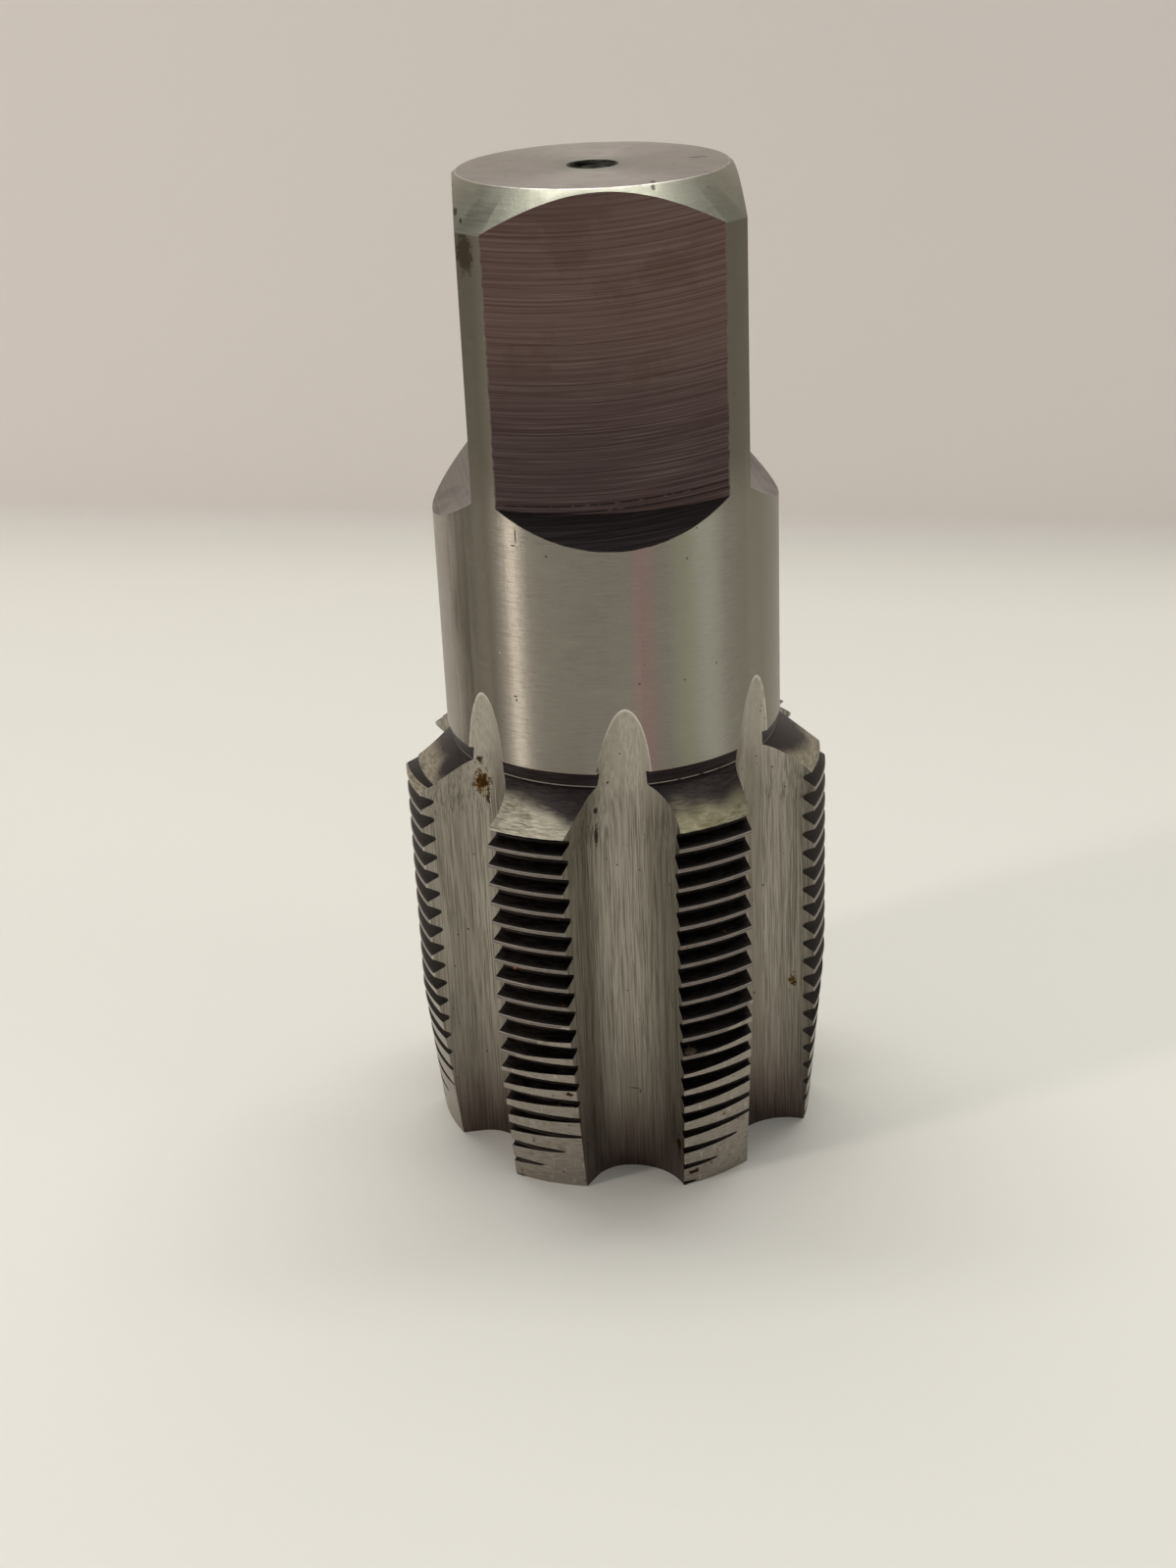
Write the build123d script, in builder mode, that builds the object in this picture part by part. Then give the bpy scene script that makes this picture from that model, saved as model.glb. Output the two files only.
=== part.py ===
from build123d import *
import os
from math import atan, cos, degrees, pi, radians, sin, sqrt, tan

os.makedirs("parts", exist_ok=True)

# A hand tap for inch-and-a-half parallel pipe thread, standing upright on its cutting end.
# It is one piece of hardened steel: a squared shank above, a threaded and fluted body below.
# Heights are measured up from the cutting end, and the square's flats face the X and Y axes.
# Sizes are in millimetres and angles in degrees.

# Heights and diameters of the turned blank
overall_length = 110.4
shank_diameter = 37.6
end_chamfer_width = 4.75
end_chamfer_height = 3.85
neck_depth = 0.4
neck_width = 1.6
bevel_height = 3.9
thread_length = 44.85

# The driving square, cut by a large face mill with a sloping rim
square_across_flats = 28.86
square_length = 32.6
mill_diameter = 130.0
mill_rim_slope = 32.4

# The parallel pipe thread: eleven turns to the inch, 55 degree form, flat crests and sharp roots
thread_diameter = 47.8
thread_pitch = 25.4 / 11
thread_angle = 55.0
crest_width = thread_pitch / 6
top_groove_below_bevel = 0.59

# The lead at the cutting end: a slow cone on each land, centred a little towards its cutting edge,
# so that the land falls away behind the edge
lead_depth = 1.65
lead_slope = 5.1
lead_offset = 1.75

# The flutes: a broad arc that makes the cutting face, a tighter arc and a straight heel.
# Their grinding wheel stopped a little below the bevel, with its plane turned slightly from upright.
flute_count = 7
flute_turn = -3.04
flute_depth = 6.75
face_arc = 6.6
heel_arc = 4.2
heel_slope = 30.5
flute_floor_offset = -0.37
flute_rise_below_bevel = 3.13
flute_wheel_diameter = 163.0
flute_wheel_skew = 6.3

# The centre holes that the tap was turned and ground between
centre_mouth_diameter = 5.2
centre_mouth_angle = 60.0
centre_pilot_diameter = 2.0
centre_pilot_length = 3.0

# How far a cutting tool passes beyond the steel, so that it never ends on a finished face,
# and in how many steps the wheel's circle is followed
overrun = 1.0
exit_overrun = 0.3
exit_steps = 2

# Radii, heights and angles that follow from the sizes above
shank_radius = shank_diameter / 2
neck_radius = shank_radius - neck_depth
end_face_radius = shank_radius - end_chamfer_width
thread_radius = thread_diameter / 2
core_radius = thread_radius - flute_depth
neck_bottom = thread_length + bevel_height
shank_bottom = neck_bottom + neck_width
flat_distance = square_across_flats / 2
square_bottom = overall_length - square_length
flute_pitch = 360 / flute_count
land_turn = flute_turn + flute_pitch / 2
land_sweep = flute_pitch * 2 / 3

# The blank, turned between centres: end chamfer, plain shank, narrow neck, back bevel, thread body
with BuildPart() as hand_tap:
    with BuildSketch(Plane.XZ):
        with BuildLine():
            Polyline(
                (0, 0),
                (thread_radius, 0),
                (thread_radius, thread_length),
                (neck_radius, neck_bottom),
                (neck_radius, shank_bottom),
                (shank_radius, shank_bottom),
                (shank_radius, overall_length - end_chamfer_height),
                (end_face_radius, overall_length),
                (0, overall_length),
                close=True,
            )
        make_face()
    revolve(axis=Axis.Z)

# The square: each flat is one pass of the face mill, whose sloping rim leaves the curved shoulder
mill_radius = mill_diameter / 2
mill_reach = shank_radius - flat_distance + overrun
mill_outer_radius = mill_radius + mill_reach * tan(radians(mill_rim_slope))

with BuildPart(Plane.XZ.offset(flat_distance)) as face_mill:
    with Locations((0, square_bottom + mill_radius)):
        Cone(mill_radius, mill_outer_radius, mill_reach, align=(Align.CENTER, Align.CENTER, Align.MIN))

with hand_tap:
    with PolarLocations(0, 4):
        add(face_mill.part, mode=Mode.SUBTRACT)

# The flute's section faces the front: its floor touches the core, and its mouth opens past the crests
face_centre = core_radius + face_arc
heel_centre = core_radius + heel_arc
heel_end = heel_centre - heel_arc * sin(radians(heel_slope))
heel_side = flute_floor_offset - heel_arc * cos(radians(heel_slope))
face_side = flute_floor_offset + face_arc
mouth = thread_radius + overrun
heel_mouth = heel_side - (mouth - heel_end) * tan(radians(heel_slope))

with BuildSketch() as flute_section:
    with BuildLine():
        CenterArc((flute_floor_offset, -face_centre), face_arc, 0, 90)
        CenterArc((flute_floor_offset, -heel_centre), heel_arc, 90, 90 - heel_slope)
        Polyline(
            (heel_side, -heel_end),
            (heel_mouth, -mouth),
            (face_side, -mouth),
            (face_side, -face_centre),
        )
    make_face()

# The flute runs straight up to the bevel. Past it the wheel's own circle, followed in a few straight steps,
# lifts the section out through neck and shank, and the wheel's skew leads it a little sideways.
wheel_radius = flute_wheel_diameter / 2
wheel_stop = thread_length - flute_rise_below_bevel
exit_lift = max(shank_radius - core_radius, 0) + exit_overrun
exit_height = wheel_stop + sqrt(wheel_radius**2 - (wheel_radius - exit_lift) ** 2)

exit_places = [Location((0, 0, thread_length))]
for step in range(1, exit_steps + 1):
    height = thread_length + (exit_height - thread_length) * step / exit_steps
    lift = wheel_radius - sqrt(wheel_radius**2 - (height - wheel_stop) ** 2)
    drift = (height - wheel_stop) * tan(radians(flute_wheel_skew))
    exit_places.append(Location((drift, -lift, height)))

with BuildPart() as flute_wheel:
    with BuildSketch(Plane.XY.offset(-overrun)):
        add(flute_section.sketch)
    extrude(amount=thread_length + overrun)
    loft([place * flute_section.sketch.face() for place in exit_places], ruled=True)

with hand_tap:
    with PolarLocations(0, flute_count, start_angle=flute_turn):
        add(flute_wheel.part, mode=Mode.SUBTRACT)

# A land's cutters sweep an arc over the land at the front, from the middle of one flute to the next
sweep_start = Plane(origin=(0, 0, 0), x_dir=(0, -1, 0), z_dir=(-1, 0, 0)).rotated((0, 0, -land_sweep / 2))

# The lead cone over one land at the front, then over all of them
lead_growth = tan(radians(lead_slope))
lead_tip_radius = thread_radius - lead_depth
lead_top = (thread_radius + overrun - lead_tip_radius) / lead_growth

with BuildPart() as lead_cutter:
    with BuildSketch(sweep_start):
        with BuildLine():
            Polyline(
                (lead_tip_radius - overrun * lead_growth, -overrun),
                (thread_radius + overrun, lead_top),
                (thread_radius + 2 * overrun, lead_top),
                (thread_radius + 2 * overrun, -overrun),
                close=True,
            )
        make_face()
    revolve(axis=Axis.Z, revolution_arc=land_sweep)

with hand_tap:
    with PolarLocations(0, flute_count, start_angle=land_turn):
        with Locations((-lead_offset, 0, 0)):
            add(lead_cutter.part, mode=Mode.SUBTRACT)

# The thread. Each land has a comb of grooves, turned as rings and tipped by the helix angle,
# and the next land round has the same comb a step higher.
helix_angle = degrees(atan(thread_pitch / (pi * thread_diameter)))
groove_width = thread_pitch - crest_width
thread_depth = groove_width / 2 / tan(radians(thread_angle / 2))
top_groove_height = thread_length - top_groove_below_bevel
groove_count = int(top_groove_height / thread_pitch) + 2
comb_mouth = thread_radius + overrun

comb_outline = [(comb_mouth, top_groove_height + groove_width / 2)]
for turn in range(groove_count):
    root_height = top_groove_height - turn * thread_pitch
    comb_outline += [
        (thread_radius, root_height + groove_width / 2),
        (thread_radius - thread_depth, root_height),
        (thread_radius, root_height - groove_width / 2),
    ]
comb_outline += [(comb_mouth, root_height - groove_width / 2)]

with BuildPart() as thread_comb:
    with BuildSketch(sweep_start):
        with BuildLine():
            Polyline(comb_outline, close=True)
        make_face()
    revolve(axis=Axis.Z, revolution_arc=land_sweep)

tip_axis = Axis((0, 0, thread_length / 2), (0, 1, 0))
tipped_comb = thread_comb.part.rotate(tip_axis, -helix_angle)

land_places = [
    Location((0, 0, thread_pitch * land / flute_count), (0, 0, land_turn + land * flute_pitch))
    for land in range(flute_count)
]
with hand_tap:
    with Locations(*land_places):
        add(tipped_comb, mode=Mode.SUBTRACT)

# The centre holes: a cone that seats the lathe's centre, and the pilot's blind hole behind it
mouth_radius = centre_mouth_diameter / 2
pilot_radius = centre_pilot_diameter / 2
mouth_growth = tan(radians(centre_mouth_angle / 2))
pilot_top = (mouth_radius - pilot_radius) / mouth_growth
pilot_end = pilot_top + centre_pilot_length

with BuildPart() as centre_drill:
    with BuildSketch(Plane.XZ):
        with BuildLine():
            Polyline(
                (0, overrun),
                (mouth_radius + overrun * mouth_growth, overrun),
                (pilot_radius, -pilot_top),
                (pilot_radius, -pilot_end),
                (0, -pilot_end),
                close=True,
            )
        make_face()
    revolve(axis=Axis.Z)

with hand_tap:
    with Locations(Location((0, 0, overall_length)), Location((0, 0, 0), (180, 0, 0))):
        add(centre_drill.part, mode=Mode.SUBTRACT)

hand_tap.part.label = "hand_tap"
export_step(hand_tap.part, "parts/hand_tap.step")
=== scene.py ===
# %% [markdown]
# # A hand tap for pipe thread, machined again in Blender
# The real tap starts as a plain steel bar. It is turned to a stepped blank between two centre holes, its
# square is milled, its flutes are ground, then each land gets its lead and its thread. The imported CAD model
# gives the true sizes, but its mesh is coarse: its thread is made of tipped rings and its flutes run out in
# two straight steps. This lesson repeats the workshop's own steps with finer tools in Blender, so that
# every surface is left by its own cutter and carries that cutter's finish.

# %% Load the frame
import bmesh
import bpy
from math import cos, degrees, pi, radians, sin, sqrt, tan
from mathutils import Matrix, Vector


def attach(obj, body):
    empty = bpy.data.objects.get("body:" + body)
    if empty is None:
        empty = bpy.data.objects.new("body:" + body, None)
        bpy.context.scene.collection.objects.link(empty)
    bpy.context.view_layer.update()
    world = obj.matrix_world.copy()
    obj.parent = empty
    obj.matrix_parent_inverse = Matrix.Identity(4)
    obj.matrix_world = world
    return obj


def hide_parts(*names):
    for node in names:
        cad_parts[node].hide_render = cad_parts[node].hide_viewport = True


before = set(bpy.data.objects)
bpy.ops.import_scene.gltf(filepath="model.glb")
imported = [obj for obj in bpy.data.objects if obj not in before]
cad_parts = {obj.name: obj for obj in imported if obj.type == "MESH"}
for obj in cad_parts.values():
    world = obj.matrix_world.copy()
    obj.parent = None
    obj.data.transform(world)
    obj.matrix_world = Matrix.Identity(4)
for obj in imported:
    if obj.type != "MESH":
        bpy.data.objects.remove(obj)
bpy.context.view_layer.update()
print("CAD nodes:", list(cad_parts))

# %% [markdown]
# ## The tap's sizes
# They are the CAD model's sizes, in millimetres and degrees. All the machining below happens in
# millimetres, because a Boolean cut rounds less there, and the finished mesh is scaled down to metres at
# the end. The overrun is how far a cutter passes beyond the steel, so that it never ends on a finished
# face.

# %% Sizes of the blank and the square
overall_length = 110.4
shank_radius = 18.8
end_face_radius = 14.05
end_chamfer_height = 3.85
neck_radius = 18.4
neck_width = 1.6
bevel_height = 3.9
thread_length = 44.85
thread_radius = 23.9

flat_distance = 14.43
flat_end = 77.8
mill_radius = 65.0
mill_rim_slope = radians(32.4)

neck_bottom = thread_length + bevel_height
neck_top = neck_bottom + neck_width
chamfer_bottom = overall_length - end_chamfer_height
print("neck from", neck_bottom, "to", neck_top, "mm; chamfer from", chamfer_bottom, "mm")

# %% Sizes of the thread, the lead and the flutes
thread_pitch = 25.4 / 11
half_thread_angle = radians(27.5)
root_radius = 22.42
crest_width = thread_pitch / 6

flute_count = 7
flute_pitch = 2 * pi / flute_count
first_flute_turn = radians(-3.04)
first_land_turn = first_flute_turn + flute_pitch / 2
core_radius = 17.15
face_arc = 6.6
heel_arc = 4.2
heel_slope = radians(30.5)
flute_floor_offset = -0.37
wheel_stop = 41.72
wheel_radius = 81.5
wheel_skew = radians(6.3)

lead_tip_radius = 22.25
lead_slope = radians(5.1)
lead_offset = 1.75

overrun = 1.0
print("first flute at", round(degrees(first_flute_turn), 2), "degrees")

# %% [markdown]
# ## Finishes come first
# A Boolean modifier can hand a cutter's material to the surface that the cutter leaves. So each cutter is
# given its finish before it cuts, as each machine leaves its own marks: turned, milled or ground, while the
# neck's black is painted shade. The materials start empty here and get their nodes further down, once the
# shape is done.

# %% One empty material for each finish
def new_finish(name):
    finish = bpy.data.materials.new(name)
    finish.use_nodes = True
    return finish


ground_shank = new_finish("ground_shank")
turned_end = new_finish("turned_end")
black_neck = new_finish("black_neck")
turned_bevel = new_finish("turned_bevel")
thread_crest = new_finish("thread_crest")
cut_end = new_finish("cut_end")
milled_flat = new_finish("milled_flat")
ground_flute = new_finish("ground_flute")
ground_lead = new_finish("ground_lead")
thread_groove = new_finish("thread_groove")
centre_hole = new_finish("centre_hole")
blank_finishes = [ground_shank, turned_end, black_neck, turned_bevel, thread_crest, cut_end]
print("finishes:", [finish.name for finish in bpy.data.materials])

# %% [markdown]
# ## Small helpers
# A shape on a lathe or a helix is one outline swept round the axis, which is what `spin` does. Its outline
# is drawn at the front of the tap, where the photographer stood, and angles grow from there to the right. A
# cut is a Boolean modifier whose result is kept as the new mesh, so that the next cutter starts from it.

# %% Helpers that draw an outline and turn a bmesh into an object
seam_gap = 0.00005


def front_point(radius, turn, height):
    return Vector((radius * sin(turn), -radius * cos(turn), height))


def draw_outline(bm, points, turn=0.0, closed=True):
    corners = [bm.verts.new(front_point(radius, turn, height)) for radius, height in points]
    sides = [bm.edges.new(pair) for pair in zip(corners, corners[1:])]
    if closed:
        sides.append(bm.edges.new((corners[-1], corners[0])))
    return corners + sides


def close_shell(bm):
    bmesh.ops.remove_doubles(bm, verts=bm.verts, dist=seam_gap)
    bmesh.ops.holes_fill(bm, edges=[edge for edge in bm.edges if edge.is_boundary], sides=0)
    bmesh.ops.recalc_face_normals(bm, faces=bm.faces)


def to_object(bm, name, finishes):
    mesh = bpy.data.meshes.new(name)
    bm.to_mesh(mesh)
    bm.free()
    for finish in finishes:
        mesh.materials.append(finish)
    shape = bpy.data.objects.new(name, mesh)
    bpy.context.scene.collection.objects.link(shape)
    return shape


# %% A helper that cuts and then throws the cutter away
def cut(work, cutter):
    boolean = work.modifiers.new("cut", "BOOLEAN")
    boolean.operation = "DIFFERENCE"
    boolean.solver = "EXACT"
    boolean.material_mode = "TRANSFER"
    boolean.object = cutter
    view = bpy.context.evaluated_depsgraph_get()
    before = work.data
    work.data = bpy.data.meshes.new_from_object(work.evaluated_get(view), depsgraph=view)
    work.modifiers.clear()
    bpy.data.meshes.remove(before)
    cutter_mesh = cutter.data
    bpy.data.objects.remove(cutter)
    bpy.data.meshes.remove(cutter_mesh)
    print("cut", len(work.data.polygons), "faces")


# %% [markdown]
# ## The turned blank
# One outline from the centre of the foot to the centre of the top is spun a full turn. Small chamfers stand
# on the outer corners, because a turned edge is never perfectly sharp and catches a thin line of light.
# Each face then gets the finish of the part of the blank that it lies on.

# %% Turn the blank
end_edge, shank_edge, neck_corner = 0.12, 0.06, 0.05
neck_blend, bevel_top = 0.1, neck_bottom - 0.07
blank_outline = [
    (0, 0),
    (thread_radius, 0),
    (thread_radius, thread_length),
    (neck_radius + neck_blend, bevel_top),
    (neck_radius, neck_bottom),
    (neck_radius, neck_top - neck_corner),
    (neck_radius + neck_corner, neck_top),
    (shank_radius - shank_edge, neck_top),
    (shank_radius, neck_top + shank_edge),
    (shank_radius, chamfer_bottom - end_edge / 2),
    (shank_radius - end_edge / 2, chamfer_bottom + end_edge / 2),
    (end_face_radius + end_edge / 2, overall_length - end_edge / 2),
    (end_face_radius - end_edge / 2, overall_length),
    (0, overall_length),
]
around = 256

bm = bmesh.new()
bmesh.ops.spin(bm, geom=draw_outline(bm, blank_outline, closed=False), cent=(0, 0, 0), axis=(0, 0, 1),
               dvec=(0, 0, 0), angle=2 * pi, steps=around, use_merge=True, use_duplicate=False)
close_shell(bm)


def blank_finish(face):
    height = face.calc_center_median().z
    faces_up_or_down = abs(face.normal.z) > 0.99
    if faces_up_or_down:
        return cut_end if height < thread_length else turned_end if height > chamfer_bottom else black_neck
    if height < thread_length:
        return thread_crest
    if height < bevel_top:
        return turned_bevel
    if height < neck_top:
        return black_neck
    return ground_shank if height < chamfer_bottom - end_edge / 2 else turned_end


for face in bm.faces:
    face.material_index = blank_finishes.index(blank_finish(face))
tap = to_object(bm, "hand_tap_steel", blank_finishes)
print("blank:", len(tap.data.polygons), "faces")

# %% [markdown]
# ## The square
# Each flat is one plunge of a large face mill with a sloping rim. The disc is a cone with a great many
# sides, so that the curved line at the flat's end stays smooth. The same disc is swung round to all four
# sides.

# %% Mill the four flats
mill_reach = shank_radius - flat_distance + overrun
rim_growth = mill_reach * tan(mill_rim_slope)
mill_sides = 720

for side in range(4):
    bm = bmesh.new()
    bmesh.ops.create_cone(bm, cap_ends=True, segments=mill_sides, radius1=mill_radius,
                          radius2=mill_radius + rim_growth, depth=mill_reach)
    bmesh.ops.rotate(bm, verts=bm.verts, cent=(0, 0, 0), matrix=Matrix.Rotation(pi / 2, 3, "X"))
    bmesh.ops.translate(bm, verts=bm.verts, vec=(0, -flat_distance - mill_reach / 2, flat_end + mill_radius))
    bmesh.ops.rotate(bm, verts=bm.verts, cent=(0, 0, 0), matrix=Matrix.Rotation(side * pi / 2, 3, "Z"))
    bmesh.ops.recalc_face_normals(bm, faces=bm.faces)
    cut(tap, to_object(bm, "face_mill", [milled_flat]))

# %% [markdown]
# ## The seven flutes
# The grinding wheel's section has a broad arc on the cutting side and a tighter arc and a slope on the heel
# side. Each arc is a single vertex, spun. The section is extruded straight up the thread, then lifted step
# by step on the wheel's own circle, and the wheel's skew carries it a little sideways: that makes the
# pointed tongues.

# %% Draw the flute's section
face_centre = core_radius + face_arc
heel_centre = core_radius + heel_arc
heel_end = heel_centre - heel_arc * sin(heel_slope)
heel_side = flute_floor_offset - heel_arc * cos(heel_slope)
mouth = thread_radius + overrun
heel_mouth = heel_side - (mouth - heel_end) * tan(heel_slope)
face_steps, heel_steps = 20, 14


def draw_arc(bm, start, centre, angle, steps):
    arc = bmesh.ops.spin(bm, geom=[start], cent=(*centre, start.co.z), axis=(0, 0, 1), dvec=(0, 0, 0),
                         angle=angle, steps=steps, use_merge=False, use_duplicate=False)
    return next(item for item in arc["geom_last"] if isinstance(item, bmesh.types.BMVert))


def flute_section(bm):
    face_side = flute_floor_offset + face_arc
    face_start = bm.verts.new((face_side, -face_centre, -overrun))
    floor = draw_arc(bm, face_start, (flute_floor_offset, -face_centre), pi / 2, face_steps)
    heel = draw_arc(bm, floor, (flute_floor_offset, -heel_centre), pi / 2 - heel_slope, heel_steps)
    heel_corner = bm.verts.new((heel_mouth, -mouth, -overrun))
    face_corner = bm.verts.new((face_side, -mouth, -overrun))
    for pair in ((heel, heel_corner), (heel_corner, face_corner), (face_corner, face_start)):
        bm.edges.new(pair)
    return bmesh.ops.contextual_create(bm, geom=bm.edges[:])["faces"][0]


# %% Grind the flutes
exit_steps = 28
exit_climb = 17.9


def extrude_by(bm, face, offset):
    raised = bmesh.ops.extrude_face_region(bm, geom=[face])["geom"]
    corners = [item for item in raised if isinstance(item, bmesh.types.BMVert)]
    bmesh.ops.translate(bm, verts=corners, vec=offset)
    if len(bm.faces) > len(face.edges) + 2:
        bmesh.ops.delete(bm, geom=[face], context="FACES_ONLY")
    return next(item for item in raised if isinstance(item, bmesh.types.BMFace))


def wheel_place(climb):
    lift = wheel_radius - sqrt(wheel_radius**2 - climb**2)
    return Vector((climb * tan(wheel_skew), -lift, climb))


for flute in range(flute_count):
    bm = bmesh.new()
    section = extrude_by(bm, flute_section(bm), (0, 0, overrun + wheel_stop))
    for step in range(exit_steps):
        here, there = (wheel_place(exit_climb * place / exit_steps) for place in (step, step + 1))
        section = extrude_by(bm, section, there - here)
    turn = Matrix.Rotation(first_flute_turn + flute * flute_pitch, 3, "Z")
    bmesh.ops.rotate(bm, verts=bm.verts, cent=(0, 0, 0), matrix=turn)
    close_shell(bm)
    cut(tap, to_object(bm, "flute_wheel", [ground_flute]))

# %% [markdown]
# ## The lead
# At the foot each land is ground down on a slow cone, so that its first teeth take light cuts. The cone's
# axis lies a little towards the land's cutting edge, so the land falls away behind the edge and doesn't
# rub. `spin` sweeps the cutter over one land, and the loop repeats it for all seven.

# %% Grind the lead on each land
land_sweep = flute_pitch * 2 / 3
land_steps = 36
lead_top = (thread_radius + overrun - lead_tip_radius) / tan(lead_slope)
lead_outline = [
    (lead_tip_radius - overrun * tan(lead_slope), -overrun),
    (thread_radius + overrun, lead_top),
    (thread_radius + 3 * overrun, lead_top),
    (thread_radius + 3 * overrun, -overrun),
]

for land in range(flute_count):
    bm = bmesh.new()
    outline = draw_outline(bm, lead_outline, turn=-land_sweep / 2)
    bmesh.ops.spin(bm, geom=outline, cent=(0, 0, 0), axis=(0, 0, 1), dvec=(0, 0, 0), angle=land_sweep,
                   steps=land_steps, use_merge=False, use_duplicate=False)
    bmesh.ops.translate(bm, verts=bm.verts, vec=(-lead_offset, 0, 0))
    turn = Matrix.Rotation(first_land_turn + land * flute_pitch, 3, "Z")
    bmesh.ops.rotate(bm, verts=bm.verts, cent=(0, 0, 0), matrix=turn)
    close_shell(bm)
    cut(tap, to_object(bm, "lead_wheel", [ground_lead]))

# %% [markdown]
# ## The thread
# The thread is one helical groove of eleven turns to the inch. `spin` makes a helix when it is given a lift
# with each step. The groove has a 55 degree angle and a rounded root, and its mouth flares by a hair at the
# crests, which leaves a tiny flat on each crest's edges. It is a little narrower than the pitch, so that
# neighbouring turns of the cutter never touch.

# %% Cut the helical groove
steps_per_turn, turns = 120, 21.6
top_groove_height, turns_to_top = 44.26, 20
groove_start = top_groove_height - thread_pitch * degrees(first_land_turn) / 360 - turns_to_top * thread_pitch
crest_half = (thread_pitch - crest_width) / 2
crest_flat, crest_flare, mouth_flare, mouth_rise = 0.06, 0.035, 0.13, 0.25
root_half, shoulder_half, shoulder_rise, flank_rise = 0.09, 0.18, 0.05, 0.14


def flank_half_width(radius):
    return crest_half - (thread_radius - radius) * tan(half_thread_angle)


upper_half = [
    (root_radius, root_half),
    (root_radius + shoulder_rise, shoulder_half),
    (root_radius + flank_rise, flank_half_width(root_radius + flank_rise)),
    (thread_radius - crest_flat, flank_half_width(thread_radius - crest_flat)),
    (thread_radius, crest_half + crest_flare),
    (thread_radius + mouth_rise, crest_half + mouth_flare),
]
groove_outline = [(radius, groove_start + half) for radius, half in upper_half]
groove_outline += [(radius, groove_start - half) for radius, half in reversed(upper_half)]

bm = bmesh.new()
bmesh.ops.spin(bm, geom=draw_outline(bm, groove_outline), cent=(0, 0, 0), axis=(0, 0, 1),
               dvec=(0, 0, thread_pitch / steps_per_turn), angle=2 * pi * turns,
               steps=round(steps_per_turn * turns), use_merge=False, use_duplicate=False)
close_shell(bm)
cut(tap, to_object(bm, "thread_wheel", [thread_groove]))

# %% [markdown]
# ## The centre holes
# The tap was turned and ground between two centres. Each sits in a 60 degree cone with a short pilot behind
# it. One outline is spun for both ends, and its depths are counted down from the top or up from the foot.

# %% Drill both centre holes
mouth_radius, mouth_edge, mouth_edge_depth = 2.6, 0.1, 0.12
pilot_radius, pilot_end, drill_point = 1.0, 5.7, 0.6
hole_sides = 64
pilot_top = (mouth_radius - pilot_radius) / tan(radians(30))
hole_outline = [
    (0, -overrun),
    (mouth_radius + mouth_edge + overrun, -overrun),
    (mouth_radius + mouth_edge, 0),
    (mouth_radius, mouth_edge_depth),
    (pilot_radius, pilot_top),
    (pilot_radius, pilot_end),
    (0, pilot_end + drill_point),
]

for place in (0, overall_length):
    bm = bmesh.new()
    outline = [(radius, depth if place == 0 else place - depth) for radius, depth in hole_outline]
    bmesh.ops.spin(bm, geom=draw_outline(bm, outline), cent=(0, 0, 0), axis=(0, 0, 1), dvec=(0, 0, 0),
                   angle=2 * pi, steps=hole_sides, use_merge=True, use_duplicate=False)
    close_shell(bm)
    cut(tap, to_object(bm, "centre_drill", [centre_hole]))

# %% [markdown]
# ## Finish the mesh
# Cuts leave short stubs of edges, so the closest points are merged. Faces are shaded smooth, with a sharp
# edge wherever two surfaces meet at more than 25 degrees. Then the mesh is scaled from millimetres to
# metres, the CAD tap is hidden, and the new mesh rides on the root body.

# %% Clean up, shade and scale
sharp_angle = radians(25)
closest, shortest = 0.004, 0.001
to_metres = (0.001, 0.001, 0.001)

bm = bmesh.new()
bm.from_mesh(tap.data)
bmesh.ops.remove_doubles(bm, verts=bm.verts, dist=closest)
bmesh.ops.dissolve_degenerate(bm, edges=bm.edges, dist=shortest)
print("volume", round(bm.calc_volume()), "mm3; open edges", sum(not edge.is_manifold for edge in bm.edges))
for face in bm.faces:
    face.smooth = True
for edge in bm.edges:
    edge.smooth = edge.calc_face_angle(0) < sharp_angle
bmesh.ops.scale(bm, vec=to_metres, verts=bm.verts)
bm.to_mesh(tap.data)
bm.free()
tap.data.calc_loop_triangles()
print("tap:", len(tap.data.polygons), "faces,", len(tap.data.loop_triangles), "triangles")
print("materials:", [finish.name for finish in tap.data.materials])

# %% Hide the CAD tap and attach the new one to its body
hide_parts("hand_tap")
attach(tap, "root")

# %% [markdown]
# ## How a steel finish is put together
# Every surface of the tap is bare hardened steel, so all finishes share one metal shader and differ in what
# their tool, the furnace and use left on it. The patterns are procedural: noise stretched along the
# direction in which the tool moved gives grain, small cells give pits, and soft spots at known places give
# rust and scratches. Noise in plain object space flows round the tap without a seam, which a pattern on an
# unrolled map would not.

# %% Helpers that place and join nodes
def set_input(tree, socket, value):
    if isinstance(value, bpy.types.NodeSocket):
        tree.links.new(value, socket)
    else:
        socket.default_value = value


def calculate(tree, operation, *values):
    node = tree.nodes.new("ShaderNodeMath")
    node.operation = operation
    for socket, value in zip(node.inputs, values):
        set_input(tree, socket, value)
    return node.outputs["Value"]


def times(tree, first, second):
    return calculate(tree, "MULTIPLY", first, second)


def plus(tree, first, second):
    return calculate(tree, "ADD", first, second)


def minus(tree, first, second):
    return calculate(tree, "SUBTRACT", first, second)


def calculate_vector(tree, operation, *vectors):
    node = tree.nodes.new("ShaderNodeVectorMath")
    node.operation = operation
    for socket, values in zip(node.inputs, vectors):
        set_input(tree, socket, values)
    return node.outputs["Value" if operation == "LENGTH" else "Vector"]


def make_vector(tree, x, y, z):
    node = tree.nodes.new("ShaderNodeCombineXYZ")
    for socket, value in zip(node.inputs, (x, y, z)):
        set_input(tree, socket, value)
    return node.outputs["Vector"]


def split_vector(tree, values):
    node = tree.nodes.new("ShaderNodeSeparateXYZ")
    set_input(tree, node.inputs["Vector"], values)
    return node.outputs["X"], node.outputs["Y"], node.outputs["Z"]


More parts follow.
